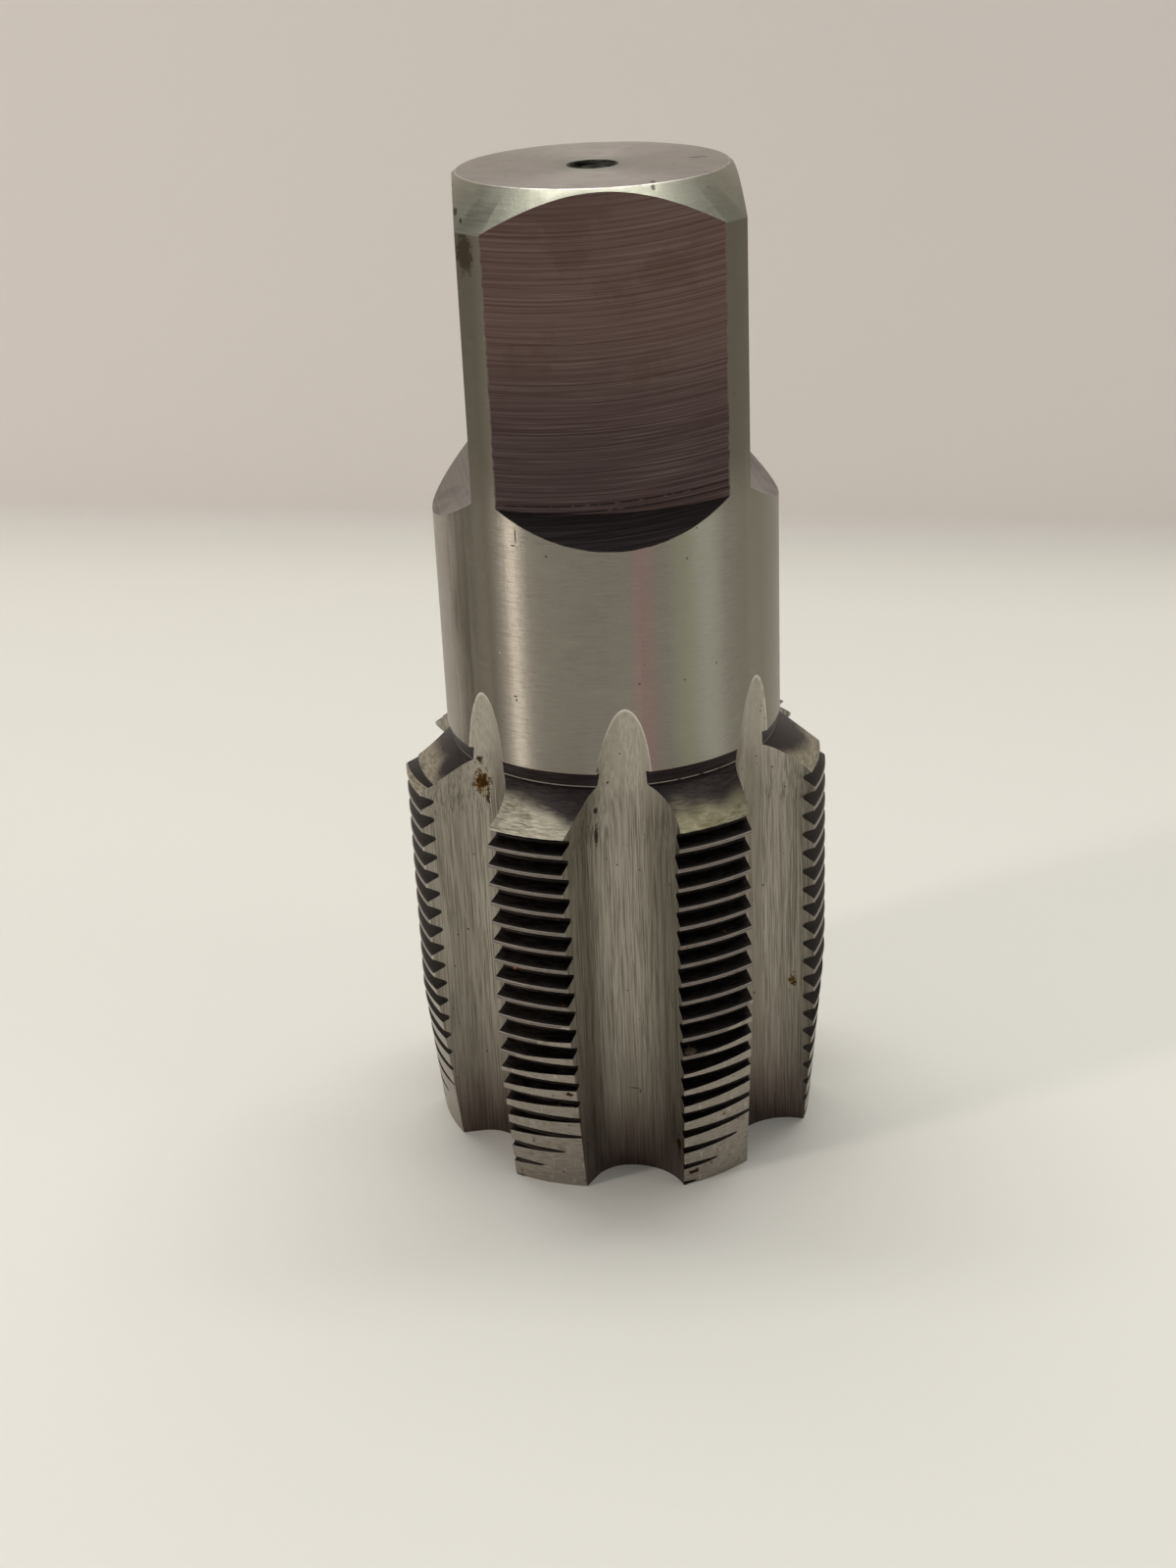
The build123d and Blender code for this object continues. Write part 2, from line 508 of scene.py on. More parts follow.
# %% Helpers that make noise, fade it and mix colours with it
mix_factor, mix_under, mix_over, mix_result = 0, 6, 7, 2    # the Mix node's sockets for colours


def noise(tree, place, cycles=1.0, detail=2.0, roughness=0.5):
    node = tree.nodes.new("ShaderNodeTexNoise")
    cycles = cycles if isinstance(cycles, tuple) else (cycles, cycles, cycles)
    squeezed = calculate_vector(tree, "MULTIPLY", place, cycles)
    for name, value in (("Vector", squeezed), ("Scale", 1.0), ("Detail", detail), ("Roughness", roughness)):
        set_input(tree, node.inputs[name], value)
    return node.outputs["Fac"]


def fade(tree, value, start, end, low=0.0, high=1.0):
    node = tree.nodes.new("ShaderNodeMapRange")
    node.interpolation_type = "SMOOTHSTEP"
    names = ("Value", "From Min", "From Max", "To Min", "To Max")
    for name, setting in zip(names, (value, start, end, low, high)):
        set_input(tree, node.inputs[name], setting)
    return node.outputs["Result"]


def band(tree, measure, low, high, soft_edge=3.0, share=1.0):
    rise = fade(tree, measure, low - soft_edge, low + soft_edge, 0.0, share)
    return times(tree, rise, fade(tree, measure, high + soft_edge, high - soft_edge))


def blend(tree, mask, under, over):
    node = tree.nodes.new("ShaderNodeMix")
    node.data_type = "RGBA"
    for place, value in ((mix_factor, mask), (mix_under, under), (mix_over, over)):
        set_input(tree, node.inputs[place], (*value, 1) if isinstance(value, tuple) else value)
    return node.outputs[mix_result]


def lay_coats(tree, colour, *coats):
    for mask, tint in coats:
        colour = blend(tree, mask, colour, tint)
    return colour


# %% Helpers that make a node group and use it
def new_group(name, inputs, outputs):
    group = bpy.data.node_groups.new(name, "ShaderNodeTree")
    for title, start in inputs.items():
        kind = "NodeSocketVector" if isinstance(start, tuple) else "NodeSocketFloat"
        group.interface.new_socket(title, in_out="INPUT", socket_type=kind).default_value = start
    for title, kind in outputs.items():
        group.interface.new_socket(title, in_out="OUTPUT", socket_type=kind)
    print("group:", name, "gives", list(outputs))
    return group, group.nodes.new("NodeGroupInput").outputs, group.nodes.new("NodeGroupOutput").inputs


def use(tree, group, **values):
    node = tree.nodes.new("ShaderNodeGroup")
    node.node_tree = group
    for title, value in values.items():
        set_input(tree, node.inputs[title], value)
    return node.outputs


# %% [markdown]
# ### Where on the tap
# Most marks follow the tap's own directions: height, radius and the angle round it. This group turns the
# object coordinates into millimetres and works the three out once for every finish.

# %% Group: place on the tap
number, vector = "NodeSocketFloat", "NodeSocketVector"
metres_to_millimetres = (1000, 1000, 1000)

tap_place, _, out = new_group(
    "tap_place", {}, {"Place": vector, "Height": number, "Radius": number, "Turn": number})
coordinates = tap_place.nodes.new("ShaderNodeTexCoord")
place = calculate_vector(tap_place, "MULTIPLY", coordinates.outputs["Object"], metres_to_millimetres)
across, away, height = split_vector(tap_place, place)
squares = plus(tap_place, times(tap_place, across, across), times(tap_place, away, away))
angle = calculate(tap_place, "ARCTAN2", across, times(tap_place, away, -1.0))
results = {"Place": place, "Height": height, "Radius": calculate(tap_place, "SQRT", squares),
           "Turn": calculate(tap_place, "DEGREES", angle)}
for title, result in results.items():
    set_input(tap_place, out[title], result)

# %% [markdown]
# ### Grain, blotches and pits
# A cutter or a grinding wheel leaves fine parallel strokes. Noise squeezed across the strokes and stretched
# along them looks the same, and it also gives the brushed roughness. Blotches are where the steel was
# handled, oiled or scaled in the furnace. Pits and specks are cells of a Voronoi pattern, of which only a
# share is used.

# %% Groups: grain, blotches and specks
drift_cycles = 0.17
noise_high, noise_spread, cloud_edge = 0.72, 0.44, 0.1
dot_reach, dot_spread, dot_core = 0.1, 0.25, 0.4

grain, start, out = new_group(
    "grain", {"Place": (0, 0, 0), "Stroke": (1, 1, 1)}, {"Strokes": number, "Drift": number})
stroke_place = calculate_vector(grain, "DIVIDE", start["Place"], start["Stroke"])
set_input(grain, out["Strokes"], noise(grain, stroke_place, detail=3.0, roughness=0.65))
set_input(grain, out["Drift"], noise(grain, stroke_place, drift_cycles))

blotches, start, out = new_group(
    "blotches", {"Place": (0, 0, 0), "Size": 1.0, "Cover": 0.5}, {"Mask": number})
size = make_vector(blotches, start["Size"], start["Size"], start["Size"])
cloud_place = calculate_vector(blotches, "DIVIDE", start["Place"], size)
edge = minus(blotches, noise_high, times(blotches, start["Cover"], noise_spread))
cloud = noise(blotches, cloud_place, detail=4.0, roughness=0.6)
set_input(blotches, out["Mask"], fade(blotches, cloud, edge, plus(blotches, edge, cloud_edge)))

specks, start, out = new_group("specks", {"Place": (0, 0, 0), "Size": 1.0, "Share": 0.3}, {"Mask": number})
size = make_vector(specks, start["Size"], start["Size"], start["Size"])
cells = specks.nodes.new("ShaderNodeTexVoronoi")
set_input(specks, cells.inputs["Vector"], calculate_vector(specks, "DIVIDE", start["Place"], size))
set_input(specks, cells.inputs["Scale"], 1.0)
chance, spread, _ = split_vector(specks, cells.outputs["Color"])
chosen = calculate(specks, "LESS_THAN", chance, start["Share"])
reach = calculate(specks, "MULTIPLY_ADD", spread, dot_spread, dot_reach)
dot = fade(specks, cells.outputs["Distance"], reach, times(specks, reach, dot_core))
set_input(specks, out["Mask"], times(specks, dot, chosen))

# %% [markdown]
# ### Marks at one place and glints on an edge
# A rust spot, a scratch or a stain sits where the photo shows it: an ellipsoid round a point on the
# surface, with a ragged border. A thin broken bright line along an edge is a painted highlight, partly
# also rubbed bright steel.

# %% Groups: a mark at a place, and a bright edge
mark_border, mark_core = 1.0, 0.6
glint_core, gap_cycles, gap_growth, gap_ends = 0.3, 0.9, 0.3, (0.25, 0.4)

mark_at, start, out = new_group(
    "mark_at", {"Place": (0, 0, 0), "Centre": (0, 0, 0), "Reach": (1, 1, 1), "Wobble": 0.0}, {"Mask": number})
offset = calculate_vector(mark_at, "SUBTRACT", start["Place"], start["Centre"])
distance = calculate_vector(mark_at, "LENGTH", calculate_vector(mark_at, "DIVIDE", offset, start["Reach"]))
ragged_distance = plus(mark_at, start["Wobble"], distance)
set_input(mark_at, out["Mask"], fade(mark_at, ragged_distance, mark_border, mark_core))

bright_edge, start, out = new_group(
    "bright_edge", {"Place": (0, 0, 0), "Distance": 0.0, "Width": 0.1, "Broken": 0.5}, {"Mask": number})
off_edge = calculate(bright_edge, "ABSOLUTE", start["Distance"])
near = fade(bright_edge, off_edge, start["Width"], times(bright_edge, start["Width"], glint_core))
gaps = noise(bright_edge, start["Place"], gap_cycles, 1.0, 0.7)
ends = [calculate(bright_edge, "MULTIPLY_ADD", start["Broken"], gap_growth, end) for end in gap_ends]
set_input(bright_edge, out["Mask"], times(bright_edge, near, fade(bright_edge, gaps, *ends)))


# %% Helpers that use the groups in a finish
usual_low, usual_high = 0.3, 0.7    # nearly all noise lies between these


def begin(finish):
    here = use(finish.node_tree, tap_place)
    return finish.node_tree, here["Place"], here["Height"], here["Radius"], here["Turn"]


def stroke_noise(tree, place, stroke):
    return use(tree, grain, Place=place, Stroke=stroke)["Strokes"]


def spread_out(tree, strokes, low=0.0, high=1.0):
    return fade(tree, strokes, usual_low, usual_high, low, high)


def cloud_mask(tree, place, size, cover, share=1.0):
    return times(tree, use(tree, blotches, Place=place, Size=size, Cover=cover)["Mask"], share)


def dot_mask(tree, place, size, share):
    return use(tree, specks, Place=place, Size=size, Share=share)["Mask"]


def glint(tree, place, measure, edge, width, broken):
    distance = minus(tree, measure, edge)
    return use(tree, bright_edge, Place=place, Distance=distance, Width=width, Broken=broken)["Mask"]


def marks(tree, place, colour, spots, tint, ragged):
    border = noise(tree, place, 1.8, 3.0, 0.65)
    wobble = calculate(tree, "MULTIPLY_ADD", border, 4 * ragged, -2 * ragged)
    for centre, reach in spots:
        mask = use(tree, mark_at, Place=place, Centre=centre, Reach=reach, Wobble=wobble)["Mask"]
        colour = blend(tree, mask, colour, tint)
    return colour


# %% The steel shader that every finish ends in
def steel(finish, colour, roughness, relief, relief_depth, stretched=0.0, strokes="round"):
    tree = finish.node_tree
    shader = tree.nodes["Principled BSDF"]
    shader.inputs["Metallic"].default_value = 1
    set_input(tree, shader.inputs["Base Color"], colour)
    set_input(tree, shader.inputs["Roughness"], roughness)
    bump = tree.nodes.new("ShaderNodeBump")
    bump.inputs["Strength"].default_value = 1
    bump.inputs["Distance"].default_value = relief_depth / 1000
    set_input(tree, bump.inputs["Height"], relief)
    set_input(tree, shader.inputs["Normal"], bump.outputs["Normal"])
    if stretched:
        shader.inputs["Anisotropic"].default_value = stretched
        shader.inputs["Anisotropic Rotation"].default_value = 0.25 if strokes == "round" else 0.0
        around = tree.nodes.new("ShaderNodeTangent")
        around.direction_type, around.axis = "RADIAL", "Z"
        set_input(tree, shader.inputs["Tangent"], around.outputs["Tangent"])
    print("finish:", finish.name, len(tree.nodes), "nodes")


# %% [markdown]
# ## The ground shank
# The shank was ground round after hardening, so its strokes are short and lie round the tap. They spread
# light up and down but hardly sideways, which is why a lamp shows on it as a tall, narrow streak: the
# shader's anisotropy does that. Faint greenish and pink bands are painted reflections of coloured things
# round the tap, its right and left sides are painted darker as painted shade, and oil and handling left a
# brown stain on the left. Each coat below has a mask and a tint and lies over the ones before it. Bands
# are given in degrees round the tap.

# %% Finish: ground shank
dark, pale, soft_pale = (0.270, 0.243, 0.205), (0.372, 0.343, 0.298), (0.330, 0.315, 0.262)
pink_reflection, green_reflection, pale_green_reflection = (0.400, 0.272, 0.250), (0.400, 0.400, 0.285), (0.375, 0.385, 0.325)
painted_shade_right, painted_shade_left, brown = (0.235, 0.220, 0.175), (0.195, 0.172, 0.136), (0.170, 0.146, 0.108)
dull_square, pit, nick = (0.158, 0.138, 0.108), (0.12, 0.10, 0.082), (0.62, 0.57, 0.50)
scratch, dark_stain, neck_glint = (0.05, 0.042, 0.038), (0.075, 0.058, 0.036), (0.50, 0.40, 0.29)
scratches = [
    ((-10.2, -15.9, 76.4), (0.09, 0.3, 1.1)), ((-10.5, -15.6, 75.3), (0.35, 0.4, 0.09)),
    ((-11.1, -15.2, 58.5), (0.3, 0.4, 0.12)), ((-11.0, -15.2, 58.1), (0.1, 0.3, 0.25)),
    ((8.3, -16.9, 76.5), (0.10, 0.3, 0.12)),
]
stains = [((-13.6, -13.0, 104.6), (1.3, 1.3, 2.4))]

tree, place, height, _, turn = begin(ground_shank)
strokes = stroke_noise(tree, place, (1.6, 1.6, 0.13))
soft_strokes = stroke_noise(tree, place, (5.0, 5.0, 0.8))
fine = spread_out(tree, strokes)
stain_cloud = spread_out(tree, noise(tree, place, (1.1, 1.1, 0.10), 4.0, 0.6))
stained = times(tree, band(tree, turn, -68, -52, 4.0, 0.85), stain_cloud)
pits = dot_mask(tree, place, 0.6, 0.012)
nick_area = times(tree, band(tree, turn, -45, -37, 2.0), band(tree, height, 62, 75, 2.0))
# Painted reflection: the pink and green bands. Painted shade: the darker bands on the right and left.
colour = lay_coats(
    tree, blend(tree, fine, dark, pale),
    (fade(tree, soft_strokes, 0.45, 0.75), soft_pale),
    (band(tree, turn, 4, 11, share=0.75), pink_reflection),
    (band(tree, turn, 17, 25, share=0.5), green_reflection),
    (band(tree, turn, 25, 36, 4.0, 0.35), pale_green_reflection),
    (fade(tree, turn, 38, 48, 0.0, 0.6), painted_shade_right),
    (band(tree, turn, -62, -42, share=0.85), painted_shade_left),
    (stained, brown),
    (fade(tree, height, 76, 84, 0.0, 0.75), dull_square),
    (pits, pit),
    (times(tree, dot_mask(tree, place, 0.6, 0.22), nick_area), nick),
)
colour = marks(tree, place, colour, scratches, scratch, 0.12)
colour = marks(tree, place, colour, stains, dark_stain, 0.35)
colour = blend(tree, glint(tree, place, height, neck_top, 0.1, 0.2), colour, neck_glint)
rough = plus(tree, spread_out(tree, strokes, 0.30, 0.39), times(tree, stained, 0.1))
tooth = noise(tree, place, (3.2, 3.2, 4.5), 1.0)
relief = calculate(tree, "MULTIPLY_ADD", tooth, 1.6, times(tree, fine, 0.7))
relief = minus(tree, relief, times(tree, pits, 2.0))
steel(ground_shank, colour, rough, relief, 0.0045, stretched=1.0)

# %% [markdown]
# ## The turned end
# The end face and its chamfer were turned with a pointed tool. On the face the strokes are rings, so that
# noise is squeezed along the radius instead of the height, and on the chamfer they run round it.

# %% Finish: turned end
face_dark, face_pale = (0.305, 0.270, 0.245), (0.370, 0.335, 0.305)
chamfer_dark, chamfer_pale = (0.262, 0.257, 0.202), (0.305, 0.300, 0.238)
handled, centre_tint, pit = (0.300, 0.285, 0.235), (0.235, 0.245, 0.195), (0.10, 0.09, 0.075)
scratch, rim_glint = (0.08, 0.07, 0.055), (0.60, 0.58, 0.50)
scratches = [
    ((5.2, -12.2, 110.4), (0.3, 0.7, 0.3)), ((5.1, -13.5, 110.2), (0.28, 0.5, 0.4)),
    ((-14.2, -9.5, 108.1), (0.22, 1.1, 0.5)), ((-13.7, -11.0, 107.4), (0.2, 0.8, 0.4)),
    ((10.9, 1.0, 110.4), (1.2, 0.5, 0.3)),
]

tree, place, height, radius, _ = begin(turned_end)
across, away, _ = split_vector(tree, place)
rings = stroke_noise(tree, make_vector(tree, across, away, minus(tree, radius, height)), (3.0, 3.0, 0.22))
ring = fade(tree, rings, 0.32, 0.68)
on_face = fade(tree, height, overall_length - 0.1, overall_length - 0.02)
chamfer_colour = blend(tree, ring, chamfer_dark, chamfer_pale)
colour = lay_coats(
    tree, blend(tree, on_face, chamfer_colour, blend(tree, ring, face_dark, face_pale)),
    (cloud_mask(tree, place, 6.0, 0.4, 0.5), handled),
    (fade(tree, radius, 6.0, mouth_radius, 0.0, 0.6), centre_tint),
    (dot_mask(tree, place, 0.9, 0.06), pit),
)
colour = marks(tree, place, colour, scratches, scratch, 0.3)
colour = blend(tree, glint(tree, place, radius, end_face_radius, 0.1, 0.25), colour, rim_glint)
worn = fade(tree, noise(tree, place, 0.35), 0.4, 0.62)
rough = calculate(tree, "MULTIPLY_ADD", worn, 0.06, spread_out(tree, rings, 0.31, 0.40))
relief = calculate(tree, "MULTIPLY_ADD", noise(tree, place, 3.0), 2.8, times(tree, ring, 0.5))
steel(turned_end, colour, rough, relief, 0.004, stretched=0.5)

# %% [markdown]
# ## The milled square
# The face mill's teeth left arcs across each flat, nearly four to the millimetre with hairlines between
# them, and the arcs lie as the mill's big circle does. The height of a point above the arc through it is
# what tells one stroke from the next, so it is worked out from the mill's radius. The flats are painted
# reddish brown and dark, partly the steel's heat colour and partly painted shade for the dark surroundings
# that they reflect, and painted lighter towards the top. The shoulder is painted almost black at the front
# and back and pale on the left and right, as painted shade and painted light.

# %% Group: which milling stroke a point lies on
lowest_point = -3.5

mill_place, start, out = new_group(
    "mill_place", {"Place": (0, 0, 0)}, {"Stroke": number, "Side": number, "Depth": number})
across, away, height = split_vector(mill_place, start["Place"])
wide = calculate(mill_place, "ABSOLUTE", across)
deep = calculate(mill_place, "ABSOLUTE", away)
on_side = calculate(mill_place, "GREATER_THAN", wide, deep)
front_side = times(mill_place, across, calculate(mill_place, "SIGN", away))
other_side = times(mill_place, away, calculate(mill_place, "SIGN", across))
side = minus(mill_place, times(mill_place, on_side, other_side),
             times(mill_place, minus(mill_place, 1.0, on_side), front_side))
from_low = minus(mill_place, side, lowest_point)
drop = calculate(mill_place, "SQRT", minus(mill_place, mill_radius**2, times(mill_place, from_low, from_low)))
set_input(mill_place, out["Stroke"], plus(mill_place, height, drop))
set_input(mill_place, out["Side"], side)
farthest = calculate(mill_place, "MAXIMUM", wide, deep)
set_input(mill_place, out["Depth"], minus(mill_place, farthest, flat_distance))

# %% Finish: milled flats and their shoulders
low_dark, low_light = (0.066, 0.043, 0.043), (0.118, 0.084, 0.084)
high_dark, high_light = (0.128, 0.076, 0.064), (0.212, 0.146, 0.130)
hairline, blotch, last_line = (0.260, 0.200, 0.180), (0.105, 0.062, 0.046), (0.035, 0.026, 0.026)
shoulder_dark, shoulder_light = (0.032, 0.025, 0.025), (0.062, 0.050, 0.050)
side_light, side_dark = (0.225, 0.200, 0.183), (0.168, 0.147, 0.133)
flat_rim_highlight, burr_tint = (0.240, 0.220, 0.170), (0.50, 0.46, 0.41)
lowest_stroke = flat_end + mill_radius

tree, place, height, radius, _ = begin(milled_flat)
mill = use(tree, mill_place, Place=place)
mill_spot = make_vector(tree, mill["Side"], mill["Stroke"], 1.0)
lines = noise(tree, mill_spot, (0.02, 3.7, 0.0), 1.0, 0.7)
hair = noise(tree, mill_spot, (0.10, 8.5, 4.0), 1.0)
line = spread_out(tree, lines)
# Painted light: the flats are painted lighter towards the top.
painted_light_upward = fade(tree, height, 84, 100)
cloud = cloud_mask(tree, place, 7.0, 0.45)
shoulder = fade(tree, mill["Depth"], 0.02, 0.12)
last_lines = plus(tree, glint(tree, place, mill["Stroke"], lowest_stroke + 0.95, 0.16, 0.2),
                  glint(tree, place, mill["Stroke"], lowest_stroke + 0.25, 0.16, 0.0))
across, _, _ = split_vector(tree, place)
on_sides = times(tree, shoulder, fade(tree, calculate(tree, "ABSOLUTE", across), 14.4, 14.6))
at_rim = times(tree, on_sides, fade(tree, radius, 18.1, 18.6))
dark, light = blend(tree, painted_light_upward, low_dark, high_dark), blend(tree, painted_light_upward, low_light, high_light)
# Painted highlight on the rim line; the side shoulders are painted pale as painted light.
colour = lay_coats(
    tree, blend(tree, line, dark, light),
    (fade(tree, hair, 0.52, 0.72, 0.0, 0.45), hairline),
    (times(tree, cloud, 0.3), blotch),
    (shoulder, blend(tree, fade(tree, hair, 0.4, 0.7), shoulder_dark, shoulder_light)),
    (last_lines, last_line),
    (times(tree, glint(tree, place, radius, shank_radius, 0.12, 0.5), 0.6), flat_rim_highlight),
    (on_sides, blend(tree, cloud, side_light, side_dark)),
    (times(tree, dot_mask(tree, place, 0.5, 0.45), at_rim), burr_tint),
)
relief = calculate(tree, "MULTIPLY_ADD", hair, 0.5, line)
steel(milled_flat, colour, spread_out(tree, lines, 0.38, 0.48), relief, 0.004, stretched=0.5)

# %% [markdown]
# ## The neck and the bevel
# The narrow neck is painted almost black, as painted shade for the dark that its recess reflects. The
# bevel below it was turned too; its lower part is painted bright, as painted light with some rubbing, and
# its upper part dark, as painted shade, up to a slanting border. So two colours meet on a soft diagonal,
# which noise makes different on every land.

# %% Finish: black neck
dark, pale = (0.021, 0.016, 0.017), (0.056, 0.046, 0.043)
low_glint, top_glint = (0.30, 0.27, 0.23), (0.42, 0.25, 0.12)

tree, place, height, _, _ = begin(black_neck)
rings = stroke_noise(tree, place, (4.0, 4.0, 0.16))
# The neck's near-black is painted shade.
colour = lay_coats(
    tree, blend(tree, fade(tree, rings, 0.4, 0.75), dark, pale),
    (glint(tree, place, height, neck_bottom + 0.05, 0.09, 0.1), low_glint),
    (glint(tree, place, height, neck_top, 0.08, 0.6), top_glint),
)
steel(black_neck, colour, spread_out(tree, rings, 0.34, 0.5), rings, 0.01, stretched=0.4)

# %% Finish: turned bevel
lit_rubbed_dark, lit_rubbed_pale, lit_rubbed_dot = (0.205, 0.187, 0.140), (0.490, 0.452, 0.350), (0.62, 0.57, 0.45)
golden_dark, golden_pale, handled = (0.105, 0.092, 0.045), (0.230, 0.210, 0.110), (0.115, 0.102, 0.062)
painted_shade_dark, painted_shade_pale = (0.026, 0.020, 0.020), (0.058, 0.048, 0.045)
rim_rust, rim_glint = (0.22, 0.11, 0.045), (0.55, 0.52, 0.45)
border_height, border_spread, border_wave, waves_per_degree, wave_turn = 44.6, 5.0, -0.55, 0.122, 29.0

tree, place, height, radius, turn = begin(turned_bevel)
rings = stroke_noise(tree, place, (1.3, 1.3, 0.14))
ring = spread_out(tree, rings)
dots = dot_mask(tree, place, 0.28, 0.4)
lit_and_rubbed = lay_coats(
    tree, blend(tree, ring, lit_rubbed_dark, lit_rubbed_pale),
    (times(tree, dots, 0.6), lit_rubbed_dot),
    (cloud_mask(tree, place, 2.5, 0.4, 0.6), handled),
    (band(tree, turn, 4, 44, 6.0, 0.65), blend(tree, ring, golden_dark, golden_pale)),
)
border = calculate(tree, "MULTIPLY_ADD", noise(tree, place, 0.11), border_spread, border_height)
wave = calculate(tree, "SINE", times(tree, plus(tree, turn, wave_turn), waves_per_degree))
border = calculate(tree, "MULTIPLY_ADD", wave, border_wave, border)
above = minus(tree, calculate(tree, "MULTIPLY_ADD", ring, 0.5, height), border)
at_rim = fade(tree, radius, 23.3, thread_radius)
# Painted light and shade: the lower part is painted lit, the upper part above the border painted dark.
colour = lay_coats(
    tree, lit_and_rubbed,
    (fade(tree, above, -0.5, 0.7), blend(tree, ring, painted_shade_dark, painted_shade_pale)),
    (times(tree, cloud_mask(tree, place, 1.2, 0.3, 0.5), at_rim), rim_rust),
    (glint(tree, place, radius, thread_radius, 0.14, 0.3), rim_glint),
)
rough = spread_out(tree, rings, 0.34, 0.48)
steel(turned_bevel, colour, rough, plus(tree, ring, dots), 0.008, stretched=0.4)

# %% [markdown]
# ## The ground flutes
# A flute's wheel runs along the tap, so its strokes stand upright. They are long and differ in depth.
# Towards the foot the flutes are painted darker and browner, as painted shade for the shadowed floor that
# they reflect there, and small dark pits lie near the upper ends. Rust is a golden halo round a dark core,
# so it takes two coats of marks. The wall's rim is a painted highlight, a bright thin line where it meets
# the shank.

# %% Where the flutes have scratches and rust
flute_scratches = [
    ((-3.0, -18.4, 50.9), (0.22, 0.8, 0.35)), ((-1.9, -17.7, 49.0), (0.16, 0.8, 0.2)),
    ((-3.3, -17.9, 45.9), (0.3, 0.8, 0.45)), ((-3.35, -17.7, 42.6), (0.22, 0.8, 1.6)),
    ((-0.3, -17.25, 10.45), (0.8, 0.8, 0.07)), ((0.4, -17.4, 10.1), (0.07, 0.8, 0.35)),
]
flute_spots = [((-15.4, -9.2, 48.9), (0.45, 0.8, 0.6)), ((-14.7, -9.1, 43.9), (0.25, 0.7, 0.9))]
rust_halos = [
    ((-15.3, -9.0, 46.0), (1.2, 1.2, 1.7)), ((19.0, -9.6, 18.8), (0.45, 0.6, 1.0)),
    ((4.4, -21.0, 4.9), (0.6, 0.6, 1.5)), ((12.9, 14.0, 47.0), (1.1, 1.1, 1.9)),
    ((-6.0, 18.2, 20.0), (0.7, 0.9, 1.5)), ((17.6, 5.0, 12.0), (0.6, 0.8, 1.2)),
]
rust_cores = [
    ((-15.2, -9.0, 46.1), (0.7, 1.0, 1.0)), ((19.0, -9.6, 18.5), (0.25, 0.6, 0.5)),
    ((-7.7, -18.5, 10.9), (0.4, 0.6, 0.35)), ((4.4, -21.0, 4.9), (0.4, 0.5, 1.1)),
    ((12.9, 14.0, 46.8), (0.6, 0.9, 1.1)), ((-6.0, 18.2, 19.8), (0.4, 0.9, 0.8)),
]
print("flutes:", len(flute_scratches + flute_spots), "scratches and spots,", len(rust_halos), "rusty places")

# %% Finish: ground flutes
dark, pale, wide_pale = (0.168, 0.151, 0.124), (0.415, 0.385, 0.330), (0.400, 0.370, 0.320)
deep_tint, painted_shade_low, exit_tint = (0.165, 0.150, 0.112), (0.185, 0.152, 0.124), (0.500, 0.465, 0.405)
painted_foot_shade_dark, painted_foot_shade_pale, pit = (0.070, 0.047, 0.042), (0.135, 0.098, 0.088), (0.055, 0.042, 0.030)
scratch, spot, flute_glint = (0.060, 0.048, 0.036), (0.055, 0.036, 0.020), (0.60, 0.57, 0.50)
rust, dark_rust = (0.115, 0.068, 0.020), (0.045, 0.020, 0.004)

tree, place, height, radius, _ = begin(ground_flute)
strokes = stroke_noise(tree, place, (0.15, 0.15, 7.0))
wide_strokes = use(tree, grain, Place=place, Stroke=(0.45, 0.45, 30.0))
line = fade(tree, strokes, 0.37, 0.63)
pit_area = times(tree, cloud_mask(tree, place, 3.0, 0.45), fade(tree, height, 36, 45))
pits = calculate(tree, "MAXIMUM", times(tree, dot_mask(tree, place, 0.55, 0.3), pit_area),
                 dot_mask(tree, place, 0.6, 0.03))
# Painted shade: the flutes are painted darker and browner towards the foot.
colour = lay_coats(
    tree, blend(tree, line, dark, pale),
    (fade(tree, wide_strokes["Strokes"], 0.45, 0.7, 0.0, 0.7), wide_pale),
    (fade(tree, wide_strokes["Drift"], 0.56, 0.64, 0.0, 0.45), deep_tint),
    (fade(tree, height, 24, 8, 0.0, 0.45), painted_shade_low),
    (fade(tree, height, 11, 1, 0.0, 0.85), blend(tree, line, painted_foot_shade_dark, painted_foot_shade_pale)),
    (fade(tree, height, 43, 52, 0.0, 0.45), exit_tint),
    (pits, pit),
)
for spots, tint, ragged in ((flute_scratches, scratch, 0.4), (flute_spots, spot, 0.6),
                            (rust_halos, rust, 0.8), (rust_cores, dark_rust, 0.8)):
    colour = marks(tree, place, colour, spots, tint, ragged)
rim = times(tree, glint(tree, place, radius, shank_radius, 0.10, 0.2), fade(tree, height, 49.8, 50.4))
face_edge = glint(tree, place, radius, thread_radius - 0.05, 0.22, 0.3)
colour = blend(tree, calculate(tree, "MAXIMUM", rim, face_edge), colour, flute_glint)
relief = minus(tree, plus(tree, line, wide_strokes["Strokes"]), times(tree, pits, 2.5))
rough = spread_out(tree, strokes, 0.36, 0.48)
steel(ground_flute, colour, rough, relief, 0.006, stretched=0.6, strokes="upright")

# %% [markdown]
# ## The thread
# The groove's flanks are painted almost black and a little oily; the black is painted shade deep in the
# groove, painted lighter towards the crests. The flat crests between them are rubbed lighter, and both
# edges of every crest shine with a painted highlight. To find those edges, the height is counted in turns
# of the helix: whatever is left after the whole turns tells how far a point is from the middle of its crest.

# %% Group: distance from the nearest crest's edge
unbroken = -0.5

